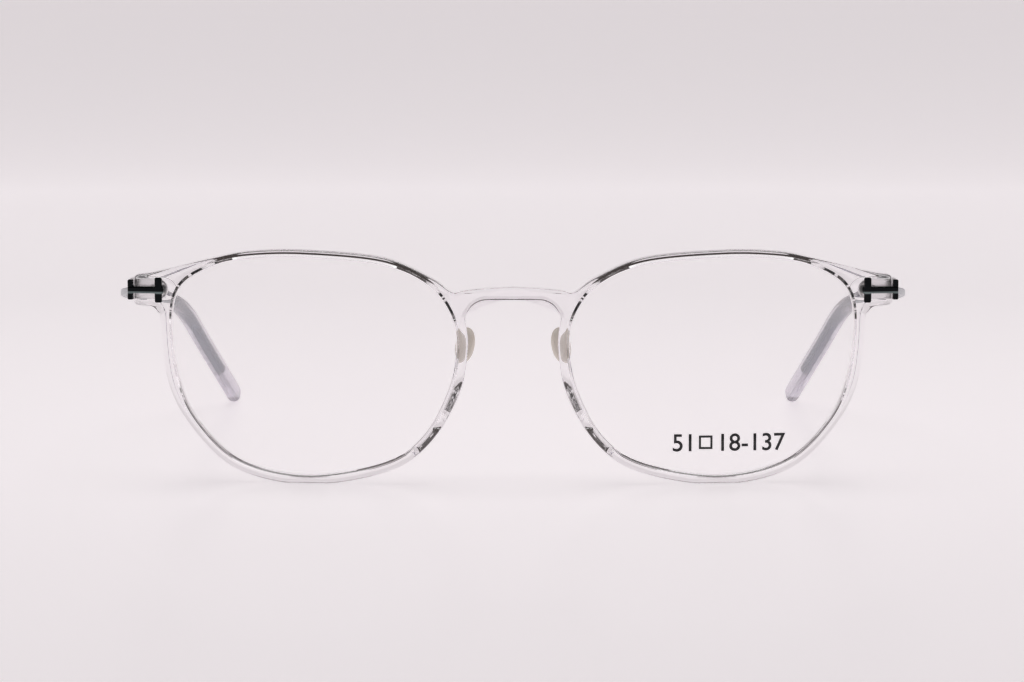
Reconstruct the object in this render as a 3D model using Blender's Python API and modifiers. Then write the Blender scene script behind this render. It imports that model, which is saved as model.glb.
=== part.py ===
"""Eyeglasses frame: clear full-rim front, dark corner trims, barrel hinges, metal temples, clear tips.

Metres, +Z up. The wearer looks along -Y, +X is the wearer's left. The frame stands on its rims and tips.
"""

import math

import bmesh
import bpy
from mathutils import Matrix, Vector

# Front
LENS_WIDTH = 0.0499  # clear opening, across
LENS_HEIGHT = 0.0382  # clear opening, tall
BRIDGE_WIDTH = 0.0194  # between the two openings
RIM_TOP = 0.0012
RIM_OUTER = 0.0020
RIM_BOTTOM = 0.0015
RIM_NOSE = 0.0019
RIM_DEPTH = 0.0038  # front to back
WRAP_RADIUS = 0.310  # the front is bent round the face
BRIDGE_BELOW_TOP = 0.0051  # top of the bridge below the top of the openings
BRIDGE_THICKNESS = 0.0022
ENDPIECE_REACH = 0.0068  # from the opening to the endpiece's outer face
ENDPIECE_WALL = 0.0006  # plastic above and below the hinge pocket
CORNER_RADIUS = 0.0010  # the endpiece's upper outer corner
HEEL_RADIUS = 0.0008  # its lower outer corner
REST_FLAT = 0.0002  # how much of each rim's lowest curve is a flat foot

# Lenses
LENS_THICKNESS = 0.0012
GROOVE_DEPTH = 0.0007

# Nose pads
PAD_HEIGHT = 0.0062
PAD_LENGTH = 0.0052
PAD_THICKNESS = 0.0020
PAD_SPLAY = math.radians(28)
PAD_LEAN = math.radians(12)
PAD_CAGE = 1.3  # the box that is rounded into a pad is this much bigger than the pad

# Corner trims
TRIM_THICKNESS = 0.0007
CROSSBAR_INSET = 0.0045  # its middle, from the endpiece's outer face
CROSSBAR_WIDTH = 0.0013
CROSSBAR_HEIGHT = 0.0044
STEM_HEIGHT = 0.0012
STEM_STUB = 0.0003  # the stem shows past the crossbar on its inner side

# Hinges
HINGE_BELOW_TOP = 0.0059  # hinge centre below the top of the openings
LEAF_HEIGHT = 0.0035
LEAF_THICKNESS = 0.0009
LEAF_REACH = 0.0046  # from the hinge axis to the leaf's round inner end
KNUCKLE_RADIUS = 0.0012
KNUCKLE_HEIGHT = 0.0012  # of the middle knuckle
KNUCKLE_GAP = 0.00015
KNUCKLE_INSET = 0.00005  # the knuckles end this far inside the leaf's edges
SCREW_RADIUS = 0.0005
SCREW_HEAD_RADIUS = 0.0009
SCREW_HEAD_HEIGHT = 0.0004
SLOT_WIDTH = 0.00025
RIVET_RADIUS = 0.00045
RIVET_HEAD_RADIUS = 0.0007
RIVET_HEAD_HEIGHT = 0.0004
RIVET_SPACING = 0.0020
TEMPLE_LEAF_LENGTH = 0.0085

# Temples
ARM_THICKNESS = 0.0010
ARM_HEIGHT = 0.0013
BUTT_LENGTH = 0.0012  # flange where the arm meets the front
ARM_SPRING = 0.0052  # how far the arm bows outwards
HINGE_STRAIGHT = 0.0080  # the arm runs straight back this far
ARM_BOW = [(0.17, 0.80), (0.30, 1.00), (0.45, 0.66), (0.60, 0.21)]  # shares of the reach and spring
TEMPLE_REACH = 0.1290  # from the hinge axis to the end of the tip
BEND_START = 0.0780  # behind the hinge axis
BEND_LENGTH = 0.0200
ARM_SLOPE = math.radians(6.2)
TIP_TURN_IN = 0.0077  # the tip's end is this far inside the arm's start
TIP_BOW = [(0.70, 0.08), (0.80, 0.36), (1.00, 1.00)]  # shares of the reach and the turn in
TIP_LENGTH = 0.0600
TIP_HEIGHT = 0.0040
TIP_THICKNESS = 0.0030
TIP_MOUTH = 0.72  # size of the sleeve's front end, as a share of its full section
TIP_SWELL = 0.45  # share of the sleeve's length over which it grows to its full section
TIP_END_SHARES = (0.35, 0.65, 0.87, 0.97)  # where the round end is drawn
SECTION_POWER = 0.6  # 1 is an ellipse, 0 a rectangle
CORE_STOPS_BEFORE_END = 0.0125

# Clearances
FIT_GAP = 0.0003
BORE_GAP = 0.00015

# How finely the shapes are drawn
CURVE_STEPS = 4
ROUND_SIDES = 20

# The opening's shape from its centre: -1 is the nose side or the bottom, 1 the temple side or the top.
SHAPE = [
    (0.07, 1.0, RIM_TOP),
    (0.459, 0.984, RIM_TOP),
    (0.695, 0.922, RIM_TOP),
    (0.932, 0.736, RIM_OUTER),
    (1.0, 0.414, RIM_OUTER),
    (0.952, -0.126, RIM_OUTER),
    (0.812, -0.524, RIM_BOTTOM),
    (0.519, -0.872, RIM_BOTTOM),
    (0.054, -1.0, RIM_BOTTOM),
    (-0.477, -0.885, RIM_BOTTOM),
    (-0.76, -0.644, RIM_BOTTOM),
    (-0.946, -0.202, RIM_NOSE),
    (-1.0, 0.196, RIM_NOSE),
    (-0.952, 0.503, RIM_NOSE),
    (-0.79, 0.764, RIM_TOP),
    (-0.475, 0.937, RIM_TOP),
]
TOP_OF_RIM = [14, 15, 0, 1, 2]  # rows of SHAPE that the outer edge follows
SIDE_OF_RIM = [4, 5, 6, 7, 8, 9, 10, 11, 12]

# Places that follow from the sizes
OPENING_INNER = BRIDGE_WIDTH / 2
OPENING_OUTER = OPENING_INNER + LENS_WIDTH
OPENING_CENTRE_X = OPENING_INNER + LENS_WIDTH / 2
OPENING_BOTTOM = RIM_BOTTOM - REST_FLAT
OPENING_TOP = OPENING_BOTTOM + LENS_HEIGHT
OPENING_CENTRE_Z = OPENING_BOTTOM + LENS_HEIGHT / 2
BRIDGE_TOP = OPENING_TOP - BRIDGE_BELOW_TOP
HINGE_Z = OPENING_TOP - HINGE_BELOW_TOP
ENDPIECE_X = OPENING_OUTER + ENDPIECE_REACH
ENDPIECE_HALF = LEAF_HEIGHT / 2 + FIT_GAP + ENDPIECE_WALL
HINGE_X = ENDPIECE_X - FIT_GAP - KNUCKLE_RADIUS
ARM_X = ENDPIECE_X + ARM_THICKNESS / 2
HINGE_BEHIND_FRONT = HINGE_X**2 / (2 * WRAP_RADIUS) + RIM_DEPTH + FIT_GAP + KNUCKLE_RADIUS
FRONT_Y = -(HINGE_BEHIND_FRONT + TEMPLE_REACH) / 2
HINGE_Y = FRONT_Y + HINGE_BEHIND_FRONT
CROSSBAR_X = ENDPIECE_X - CROSSBAR_INSET
LENS_Y = RIM_DEPTH * 0.45  # middle of the groove behind the rim's front face


# ---------------------------------------------------------------- helpers


def clear_scene():
    for obj in list(bpy.data.objects):
        bpy.data.objects.remove(obj, do_unlink=True)


def new_collection(name):
    group = bpy.data.collections.new(name)
    bpy.context.scene.collection.children.link(group)
    return group


def material(name, colour, roughness, metallic=0.0, alpha=1.0):
    made = bpy.data.materials.new(name)
    made.use_nodes = True
    shader = made.node_tree.nodes["Principled BSDF"]
    shader.inputs["Base Color"].default_value = (*colour, 1.0)
    shader.inputs["Roughness"].default_value = roughness
    shader.inputs["Metallic"].default_value = metallic
    shader.inputs["Alpha"].default_value = alpha
    return made


def wrap(x):
    """How far behind the bridge the front's surface lies at this x."""
    return x * x / (2 * WRAP_RADIUS)


def smooth(points, closed, steps=CURVE_STEPS):
    """Points along a Catmull-Rom curve through the given ones."""
    count = len(points)
    spans = count if closed else count - 1
    made = []
    for i in range(spans):
        if closed:
            a, b, c, d = (points[(i + k - 1) % count] for k in range(4))
        else:
            a, b, c, d = (points[min(max(i + k - 1, 0), count - 1)] for k in range(4))
        for k in range(steps):
            t = k / steps
            square = (2 * a - 5 * b + 4 * c - d) * t**2
            cube = (3 * b - a - 3 * c + d) * t**3
            made.append(0.5 * (2 * b + (c - a) * t + square + cube))
    return made if closed else made + [points[-1]]


def outward(points, i):
    """The direction away from a clockwise closed outline at point i."""
    along = points[(i + 1) % len(points)] - points[i - 1]
    return Vector((-along.y, along.x)).normalized()


def grown(points, by):
    return [point + outward(points, i) * by for i, point in enumerate(points)]


def arc(centre, radius, start, end, steps=4):
    """Points round a corner, from one angle in degrees to another."""
    angles = (math.radians(start + (end - start) * k / steps) for k in range(steps + 1))
    return [centre + radius * Vector((math.cos(a), math.sin(a))) for a in angles]


def mesh_of(obj, group):
    """Turns a curve object into a welded mesh object in the given collection."""
    name = obj.name
    bpy.context.view_layer.update()
    mesh = bpy.data.meshes.new_from_object(obj.evaluated_get(bpy.context.evaluated_depsgraph_get()))
    matrix = obj.matrix_world.copy()
    bpy.data.objects.remove(obj, do_unlink=True)
    made = bpy.data.objects.new(name, mesh)
    made.matrix_world = matrix
    group.objects.link(made)
    weld(mesh)
    return made


def weld(mesh):
    work = bmesh.new()
    work.from_mesh(mesh)
    bmesh.ops.remove_doubles(work, verts=work.verts, dist=1e-6)
    bmesh.ops.recalc_face_normals(work, faces=work.faces)
    work.to_mesh(mesh)
    work.free()


def move_points(obj, rule):
    for vertex in obj.data.vertices:
        vertex.co = rule(vertex.co)
    obj.data.update()


def flat_shape(name, outlines, thickness, front, group):
    """A plate in the XZ plane cut to these outlines, its front face at y = front before it is wrapped."""
    curve = bpy.data.curves.new(name, "CURVE")
    curve.dimensions = "2D"
    curve.fill_mode = "BOTH"
    curve.extrude = thickness / 2
    for outline in outlines:
        spline = curve.splines.new("POLY")
        spline.points.add(len(outline) - 1)
        spline.use_cyclic_u = True
        for point, place in zip(spline.points, outline):
            point.co = (place.x, place.y, 0, 1)
    obj = bpy.data.objects.new(name, curve)
    group.objects.link(obj)
    obj = mesh_of(obj, group)
    middle = front + thickness / 2
    move_points(obj, lambda p: Vector((p.x, middle - p.z, p.y)))
    return obj


def wrap_round(obj):
    """Bends a plate to the front's curve and moves it to the front's place."""
    move_points(obj, lambda p: Vector((p.x, p.y + wrap(p.x) + FRONT_Y, p.z)))
    weld(obj.data)
    return obj


def box(name, low, high, group):
    bpy.ops.mesh.primitive_cube_add(size=1)
    obj = bpy.context.object
    obj.name = name
    put_in(obj, group)
    low, high = Vector(low), Vector(high)
    move_points(obj, lambda p: (low + high) / 2 + Vector(p[i] * (high - low)[i] for i in range(3)))
    return obj


def rod(name, centre, radius, length, group, along="Z", sides=ROUND_SIDES):
    bpy.ops.mesh.primitive_cylinder_add(vertices=sides, radius=radius, depth=length)
    obj = bpy.context.object
    obj.name = name
    put_in(obj, group)
    if along == "Y":
        move_points(obj, lambda p: Vector((p.x, p.z, -p.y)))
    move_points(obj, lambda p: p + Vector(centre))
    return obj


def put_in(obj, group):
    for other in list(obj.users_collection):
        other.objects.unlink(obj)
    group.objects.link(obj)


def mirrored(obj, name, group):
    """A copy on the other side of x = 0."""
    mesh = obj.data.copy()
    copy = bpy.data.objects.new(name, mesh)
    group.objects.link(copy)
    move_points(copy, lambda p: Vector((-p.x, p.y, p.z)))
    mesh.flip_normals()
    return copy


def boolean(obj, other, operation):
    change = obj.modifiers.new(f"{operation.lower()} {other.name}", "BOOLEAN")
    change.operation = operation
    change.object = other
    change.solver = "EXACT"


def set_finish(obj, finish):
    obj.data.materials.clear()
    obj.data.materials.append(finish)
    obj.data.shade_smooth()
    obj.data.set_sharp_from_angle(angle=math.radians(35))


# ---------------------------------------------------------------- outlines


def opening():
    """The clear opening of the wearer's left rim, clockwise as seen from the front."""
    half = Vector((LENS_WIDTH / 2, LENS_HEIGHT / 2))
    centre = Vector((OPENING_CENTRE_X, OPENING_CENTRE_Z))
    rows = [centre + Vector((u * half.x, w * half.y)) for u, w, _ in SHAPE]
    return rows, smooth(rows, closed=True)


def outer_edge():
    """The front's outer edge on the wearer's left, from the top of the bridge round to its underside."""
    rows, _ = opening()
    rim = [row + outward(rows, i) * SHAPE[i][2] for i, row in enumerate(rows)]
    inner, top = OPENING_INNER, BRIDGE_TOP
    bridge_top = [
        Vector((0, top)),
        Vector((0.43 * inner, top - 0.0002)),
        Vector((0.70 * inner, top - 0.00045)),
        Vector((0.92 * inner, top - 0.00075)),
        Vector((inner + 0.0009, top - 0.0010)),
    ]
    high, low = HINGE_Z + ENDPIECE_HALF, HINGE_Z - ENDPIECE_HALF
    corner = Vector((ENDPIECE_X - CORNER_RADIUS, high - CORNER_RADIUS))
    heel = Vector((ENDPIECE_X - HEEL_RADIUS, low + HEEL_RADIUS))
    shoulder = [
        Vector((OPENING_OUTER + 0.0012, high + 0.00085)),
        Vector((OPENING_OUTER + 0.0038, high + 0.00025)),
        corner + Vector((0, CORNER_RADIUS)),
    ]
    armpit = [
        heel - Vector((0, HEEL_RADIUS)),
        Vector((OPENING_OUTER + 0.0034, low - 0.0004)),
        Vector((OPENING_OUTER + 0.0024, low - 0.0014)),
    ]
    bottom = top - BRIDGE_THICKNESS
    under = [
        Vector((inner - 0.0014, bottom - 0.0033)),
        Vector((inner - 0.0018, bottom - 0.0021)),
        Vector((0.73 * inner, bottom - 0.0010)),
        Vector((0.61 * inner, bottom - 0.0003)),
        Vector((0.46 * inner, bottom)),
        Vector((0, bottom)),
    ]
    upper = smooth(bridge_top + [rim[i] for i in TOP_OF_RIM] + shoulder, closed=False)
    lower = smooth(armpit + [rim[i] for i in SIDE_OF_RIM] + under, closed=False)
    corners = arc(corner, CORNER_RADIUS, 90, 0) + arc(heel, HEEL_RADIUS, 0, -90)[:-1]
    edge = upper[:-1] + corners + lower
    return [Vector((point.x, max(point.y, 0.0))) for point in edge]


def to_the_right(points):
    return [Vector((-point.x, point.y)) for point in reversed(points)]


# ---------------------------------------------------------------- front


def hinge_plate(reach_in, reach_out, height):
    """Outline of a plate with a round inner end, centred on the hinge's height."""
    inner = Vector((HINGE_X - reach_in + height / 2, HINGE_Z))
    return arc(inner, height / 2, 270, 90, 10) + [
        Vector((HINGE_X + reach_out, HINGE_Z + height / 2)),
        Vector((HINGE_X + reach_out, HINGE_Z - height / 2)),
    ]


def rivet_places():
    return [Vector((CROSSBAR_X, HINGE_Z + side * RIVET_SPACING / 2)) for side in (1, -1)]


def make_front(parts, cutters):
    half = outer_edge()
    edge = half + to_the_right(half[1:-1])
    _, left = opening()
    front = flat_shape("front_frame", [edge, left, to_the_right(left)], RIM_DEPTH, 0.0, parts)
    wrap_round(front)

    reach_in, reach_out = LEAF_REACH + FIT_GAP, KNUCKLE_RADIUS + 4 * FIT_GAP
    tools = [
        wrap_round(
            flat_shape(
                "groove_left",
                [grown(left, GROOVE_DEPTH)],
                LENS_THICKNESS + 2 * FIT_GAP,
                LENS_Y - LENS_THICKNESS / 2 - FIT_GAP,
                cutters,
            )
        ),
        wrap_round(
            flat_shape(
                "pocket_left",
                [hinge_plate(reach_in, reach_out, LEAF_HEIGHT + 2 * FIT_GAP)],
                LEAF_THICKNESS + FIT_GAP + RIM_DEPTH / 2,
                RIM_DEPTH - LEAF_THICKNESS - FIT_GAP,
                cutters,
            )
        ),
    ]
    for i, place in enumerate(rivet_places()):
        middle = FRONT_Y + wrap(place.x) + RIM_DEPTH / 2
        tools.append(
            rod(f"rivet_hole_left_{i}", (place.x, middle, place.y), RIVET_RADIUS + BORE_GAP,
                RIM_DEPTH * 2, cutters, along="Y")
        )
    for tool in tools:
        boolean(front, tool, "DIFFERENCE")
        boolean(front, mirrored(tool, tool.name.replace("left", "right"), cutters), "DIFFERENCE")
    return front


def make_lens(parts):
    _, left = opening()
    outline = grown(left, GROOVE_DEPTH - FIT_GAP)
    return wrap_round(
        flat_shape("lens_left", [outline], LENS_THICKNESS, LENS_Y - LENS_THICKNESS / 2, parts)
    )


def make_pad(parts):
    """A soft oval pad behind the rim's nose side, its face turned in and back."""
    bpy.ops.mesh.primitive_cube_add(size=1)
    pad = bpy.context.object
    pad.name = "nose_pad_left"
    put_in(pad, parts)
    rows, _ = opening()
    seat = rows[12] + outward(rows, 12) * RIM_NOSE / 2
    depth = PAD_LENGTH / 2 + PAD_THICKNESS / 2 * math.sin(PAD_SPLAY)
    centre = Vector((seat.x, FRONT_Y + wrap(seat.x) + RIM_DEPTH + FIT_GAP + depth, seat.y))

    cage = Vector((PAD_THICKNESS, PAD_LENGTH, PAD_HEIGHT)) * PAD_CAGE
    turn = Matrix.Rotation(-PAD_LEAN, 3, "Y") @ Matrix.Rotation(-PAD_SPLAY, 3, "Z")

    def place(p):
        return centre + turn @ Vector(p[i] * cage[i] for i in range(3))

    move_points(pad, place)
    rounding = pad.modifiers.new("rounding", "SUBSURF")
    rounding.levels = 2
    rounding.render_levels = 2
    return pad


def make_trim(parts, cutters):
    """A T on the endpiece's face whose stem turns the corner into a side plate."""
    inner, outer = CROSSBAR_X - CROSSBAR_WIDTH / 2, ENDPIECE_X + FIT_GAP + TRIM_THICKNESS
    half_bar, half_stem = CROSSBAR_HEIGHT / 2, STEM_HEIGHT / 2
    outline = [
        Vector((inner, half_bar)),
        Vector((inner + CROSSBAR_WIDTH, half_bar)),
        Vector((inner + CROSSBAR_WIDTH, half_stem)),
        Vector((outer, half_stem)),
        Vector((outer, -half_stem)),
        Vector((inner + CROSSBAR_WIDTH, -half_stem)),
        Vector((inner + CROSSBAR_WIDTH, -half_bar)),
        Vector((inner, -half_bar)),
        Vector((inner, -half_stem)),
        Vector((inner - STEM_STUB, -half_stem)),
        Vector((inner - STEM_STUB, half_stem)),
        Vector((inner, half_stem)),
    ]
    outline = [point + Vector((0, HINGE_Z)) for point in outline]
    proud = -TRIM_THICKNESS - FIT_GAP
    trim = wrap_round(flat_shape("corner_trim_left", [outline], TRIM_THICKNESS, proud, parts))
    front = FRONT_Y + wrap(outer) - FIT_GAP - TRIM_THICKNESS
    back = FRONT_Y + wrap(ENDPIECE_X) + RIM_DEPTH
    plate = box(
        "side_plate_left",
        (ENDPIECE_X + FIT_GAP, front, HINGE_Z - LEAF_HEIGHT / 2),
        (outer, back, HINGE_Z + LEAF_HEIGHT / 2),
        cutters,
    )
    boolean(trim, plate, "UNION")
    return trim


def make_front_leaf(parts, cutters):
    leaf = wrap_round(
        flat_shape(
            "hinge_leaf_left",
            [hinge_plate(LEAF_REACH, KNUCKLE_RADIUS, LEAF_HEIGHT)],
            LEAF_THICKNESS,
            RIM_DEPTH - LEAF_THICKNESS,
            parts,
        )
    )
    inside = FRONT_Y + wrap(HINGE_X) + RIM_DEPTH - LEAF_THICKNESS / 2
    height = LEAF_HEIGHT / 2 - KNUCKLE_INSET - KNUCKLE_HEIGHT / 2 - KNUCKLE_GAP
    half_web = KNUCKLE_RADIUS - KNUCKLE_INSET
    for name, sign in (("upper", 1), ("lower", -1)):
        middle = HINGE_Z + sign * (LEAF_HEIGHT / 2 - KNUCKLE_INSET - height / 2)
        knuckle = rod(f"{name}_knuckle", (HINGE_X, HINGE_Y, middle), KNUCKLE_RADIUS, height, cutters)
        web = box(
            f"{name}_web",
            (HINGE_X - half_web, inside, middle - height / 2 + KNUCKLE_INSET),
            (HINGE_X + half_web, HINGE_Y, middle + height / 2 - KNUCKLE_INSET),
            cutters,
        )
        boolean(leaf, web, "UNION")
        boolean(leaf, knuckle, "UNION")
    bore = rod("front_bore", (HINGE_X, HINGE_Y, HINGE_Z), SCREW_RADIUS + BORE_GAP, LEAF_HEIGHT * 2, cutters)
    boolean(leaf, bore, "DIFFERENCE")
    for i, place in enumerate(rivet_places()):
        hole = rod(
            f"leaf_hole_{i}",
            (place.x, FRONT_Y + wrap(place.x) + RIM_DEPTH, place.y),
            RIVET_RADIUS + BORE_GAP,
            RIM_DEPTH,
            cutters,
            along="Y",
        )
        boolean(leaf, hole, "DIFFERENCE")
    return leaf


def make_rivets(parts, cutters):
    made = []
    for name, place in zip(("upper", "lower"), rivet_places()):
        face = FRONT_Y + wrap(place.x)
        front, seat = face + FIT_GAP, face + RIM_DEPTH + FIT_GAP
        rivet = rod(
            f"hinge_rivet_{name}_left",
            (place.x, (front + seat + RIVET_HEAD_HEIGHT / 2) / 2, place.y),
            RIVET_RADIUS,
            seat + RIVET_HEAD_HEIGHT / 2 - front,
            parts,
            along="Y",
        )
        head = rod(
            f"rivet_head_{name}",
            (place.x, seat + RIVET_HEAD_HEIGHT / 2, place.y),
            RIVET_HEAD_RADIUS,
            RIVET_HEAD_HEIGHT,
            cutters,
            along="Y",
        )
        boolean(rivet, head, "UNION")
        made.append(rivet)
    return made


def make_screw(parts, cutters):
    top = HINGE_Z + LEAF_HEIGHT / 2 + BORE_GAP
    bottom = HINGE_Z - LEAF_HEIGHT / 2
    screw = rod(
        "hinge_screw_left",
        (HINGE_X, HINGE_Y, (top + bottom + SCREW_HEAD_HEIGHT / 2) / 2),
        SCREW_RADIUS,
        top + SCREW_HEAD_HEIGHT / 2 - bottom,
        parts,
    )
    head = rod(
        "screw_head",
        (HINGE_X, HINGE_Y, top + SCREW_HEAD_HEIGHT / 2),
        SCREW_HEAD_RADIUS,
        SCREW_HEAD_HEIGHT,
        cutters,
    )
    slot = box(
        "screw_slot",
        (HINGE_X - 2 * SCREW_HEAD_RADIUS, HINGE_Y - SLOT_WIDTH / 2, top + SCREW_HEAD_HEIGHT / 2),
        (HINGE_X + 2 * SCREW_HEAD_RADIUS, HINGE_Y + SLOT_WIDTH / 2, top + 2 * SCREW_HEAD_HEIGHT),
        cutters,
    )
    boolean(screw, head, "UNION")
    boolean(screw, slot, "DIFFERENCE")
    return screw


# ---------------------------------------------------------------- temples


def fall(s):
    """The ear bend's share of the drop at s behind the hinge: none before the bend, then ever steeper."""
    t = s - BEND_START
    if t <= 0:
        return 0.0
    if t < BEND_LENGTH:
        return t * t / (2 * BEND_LENGTH)
    return t - BEND_LENGTH / 2


def temple_path(start, end):
    """Centre of the arm and tip between two distances behind the hinge axis."""
    nose = TEMPLE_REACH - TIP_HEIGHT / 2
    drop_to_table = HINGE_Z - math.tan(ARM_SLOPE) * nose - TIP_HEIGHT / 2
    ear_slope = drop_to_table / fall(nose)
    sideways = [Vector((0.0, 0.0)), Vector((HINGE_STRAIGHT, 0.0))]
    sideways += [Vector((share * TEMPLE_REACH, bow * ARM_SPRING)) for share, bow in ARM_BOW]
    sideways += [Vector((share * TEMPLE_REACH, -turn * TIP_TURN_IN)) for share, turn in TIP_BOW]
    curve = smooth(sideways, closed=False, steps=16)
    count = max(2, round((end - start) / 0.004))
    made = []
    for k in range(count + 1):
        s = start + (end - start) * k / count
        i = max(j for j, point in enumerate(curve[:-1]) if point.x <= max(s, 0.0))
        a, b = curve[i], curve[i + 1]
        out = a.y + (b.y - a.y) * (max(s, 0.0) - a.x) / (b.x - a.x)
        z = HINGE_Z - math.tan(ARM_SLOPE) * max(s, 0.0) - ear_slope * fall(s)
        made.append(Vector((ARM_X + out, HINGE_Y + s, z)))
    return made


def swept(name, path, sizes, width, height, sides, group):
    """A section of this width and height drawn along the path, scaled at each point by sizes."""
    section = bpy.data.curves.new(name + "_section", "CURVE")
    section.dimensions = "2D"
    outline = section.splines.new("POLY")
    outline.points.add(sides - 1)
    outline.use_cyclic_u = True
    for k, point in enumerate(outline.points):
        angle = 2 * math.pi * (k + 0.5) / sides
        across = math.copysign(abs(math.cos(angle)) ** SECTION_POWER, math.cos(angle)) * width / 2
        up = math.copysign(abs(math.sin(angle)) ** SECTION_POWER, math.sin(angle)) * height / 2
        point.co = (across, up, 0, 1)
    profile = bpy.data.objects.new(name + "_section", section)
    group.objects.link(profile)
    curve = bpy.data.curves.new(name, "CURVE")
    curve.dimensions = "3D"
    curve.twist_mode = "Z_UP"
    curve.bevel_mode = "OBJECT"
    curve.bevel_object = profile
    curve.use_fill_caps = True
    spline = curve.splines.new("POLY")
    spline.points.add(len(path) - 1)
    for point, place, size in zip(spline.points, path, sizes):
        point.co = (*place, 1)
        point.radius = size
    obj = bpy.data.objects.new(name, curve)
    group.objects.link(obj)
    obj = mesh_of(obj, group)
    bpy.data.objects.remove(profile, do_unlink=True)
    return obj


def make_arm(parts, cutters):
    """Metal arm from the flange at the front to the end of the core inside the tip."""
    start = FRONT_Y + wrap(ENDPIECE_X) + RIM_DEPTH + FIT_GAP - HINGE_Y
    path = temple_path(start + BUTT_LENGTH / 2, TEMPLE_REACH - CORE_STOPS_BEFORE_END)
    arm = swept("temple_arm_left", path, [1.0] * len(path), ARM_THICKNESS, ARM_HEIGHT, 12, parts)
    flange = box(
        "butt_flange",
        (ARM_X - ARM_THICKNESS / 2, HINGE_Y + start, HINGE_Z - LEAF_HEIGHT / 2),
        (ARM_X + ARM_THICKNESS / 2, HINGE_Y + start + BUTT_LENGTH, HINGE_Z + LEAF_HEIGHT / 2),
        cutters,
    )
    boolean(arm, flange, "UNION")
    return arm


def make_temple_leaf(parts, cutters):
    """Middle knuckle with the plate that is brazed to the arm's inner side."""
    clear = KNUCKLE_RADIUS + FIT_GAP
    outer = HINGE_X + KNUCKLE_RADIUS
    middle = HINGE_Z - math.tan(ARM_SLOPE) * TEMPLE_LEAF_LENGTH / 2
    leaf = box(
        "temple_leaf_left",
        (outer - LEAF_THICKNESS, HINGE_Y + clear, middle - LEAF_HEIGHT / 2),
        (outer, HINGE_Y + TEMPLE_LEAF_LENGTH, middle + LEAF_HEIGHT / 2),
        parts,
    )
    web = box(
        "middle_web",
        (outer - LEAF_THICKNESS, HINGE_Y, HINGE_Z - KNUCKLE_HEIGHT / 2),
        (outer, HINGE_Y + clear + LEAF_THICKNESS, HINGE_Z + KNUCKLE_HEIGHT / 2),
        cutters,
    )
    knuckle = rod("middle_knuckle", (HINGE_X, HINGE_Y, HINGE_Z), KNUCKLE_RADIUS, KNUCKLE_HEIGHT, cutters)
    bore = rod("middle_bore", (HINGE_X, HINGE_Y, HINGE_Z), SCREW_RADIUS + BORE_GAP, LEAF_HEIGHT, cutters)
    boolean(leaf, web, "UNION")
    boolean(leaf, knuckle, "UNION")
    boolean(leaf, bore, "DIFFERENCE")
    return leaf


def make_tip(parts, cutters):
    """Clear sleeve over the arm's core: a narrow mouth, a full paddle and a round end."""
    start, end = TEMPLE_REACH - TIP_LENGTH, TEMPLE_REACH
    nose = TIP_HEIGHT / 2
    body = temple_path(start, end - nose)
    sizes = []
    for k in range(len(body)):
        t = min(1.0, k / (len(body) - 1) / TIP_SWELL)
        sizes.append(TIP_MOUTH + (1 - TIP_MOUTH) * t * t * (3 - 2 * t))
    for share in TIP_END_SHARES:
        body.append(temple_path(end - nose, end - nose + nose * share)[-1])
        sizes.append(math.sqrt(1 - share * share))
    tip = swept("temple_tip_left", body, sizes, TIP_THICKNESS, TIP_HEIGHT, 16, parts)
    core = temple_path(start - 0.004, TEMPLE_REACH - CORE_STOPS_BEFORE_END + FIT_GAP)
    bore = swept(
        "tip_bore_left",
        core,
        [1.0] * len(core),
        ARM_THICKNESS + 2 * FIT_GAP,
        ARM_HEIGHT + 2 * FIT_GAP,
        12,
        cutters,
    )
    boolean(tip, bore, "DIFFERENCE")
    return tip


# ---------------------------------------------------------------- assembly


def both_sides(piece, finish, parts, pivot=None):
    """Finishes a left piece and makes its right twin, each hung on its own pivot if it moves."""
    set_finish(piece, finish)
    bpy.context.view_layer.update()
    result = bpy.data.meshes.new_from_object(piece.evaluated_get(bpy.context.evaluated_depsgraph_get()))
    piece.modifiers.clear()
    piece.data = result
    twin = mirrored(piece, piece.name.replace("left", "right"), parts)
    twin.data.materials.clear()
    twin.data.materials.append(finish)
    if pivot:
        for obj, side in ((piece, 1), (twin, -1)):
            empty = pivot[side]
            obj.parent = empty
            obj.matrix_parent_inverse = empty.matrix_world.inverted()


def make_pivot(name, x, group):
    empty = bpy.data.objects.new(name, None)
    empty.empty_display_size = 0.01
    empty.location = (x, HINGE_Y, HINGE_Z)
    group.objects.link(empty)
    return empty


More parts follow.
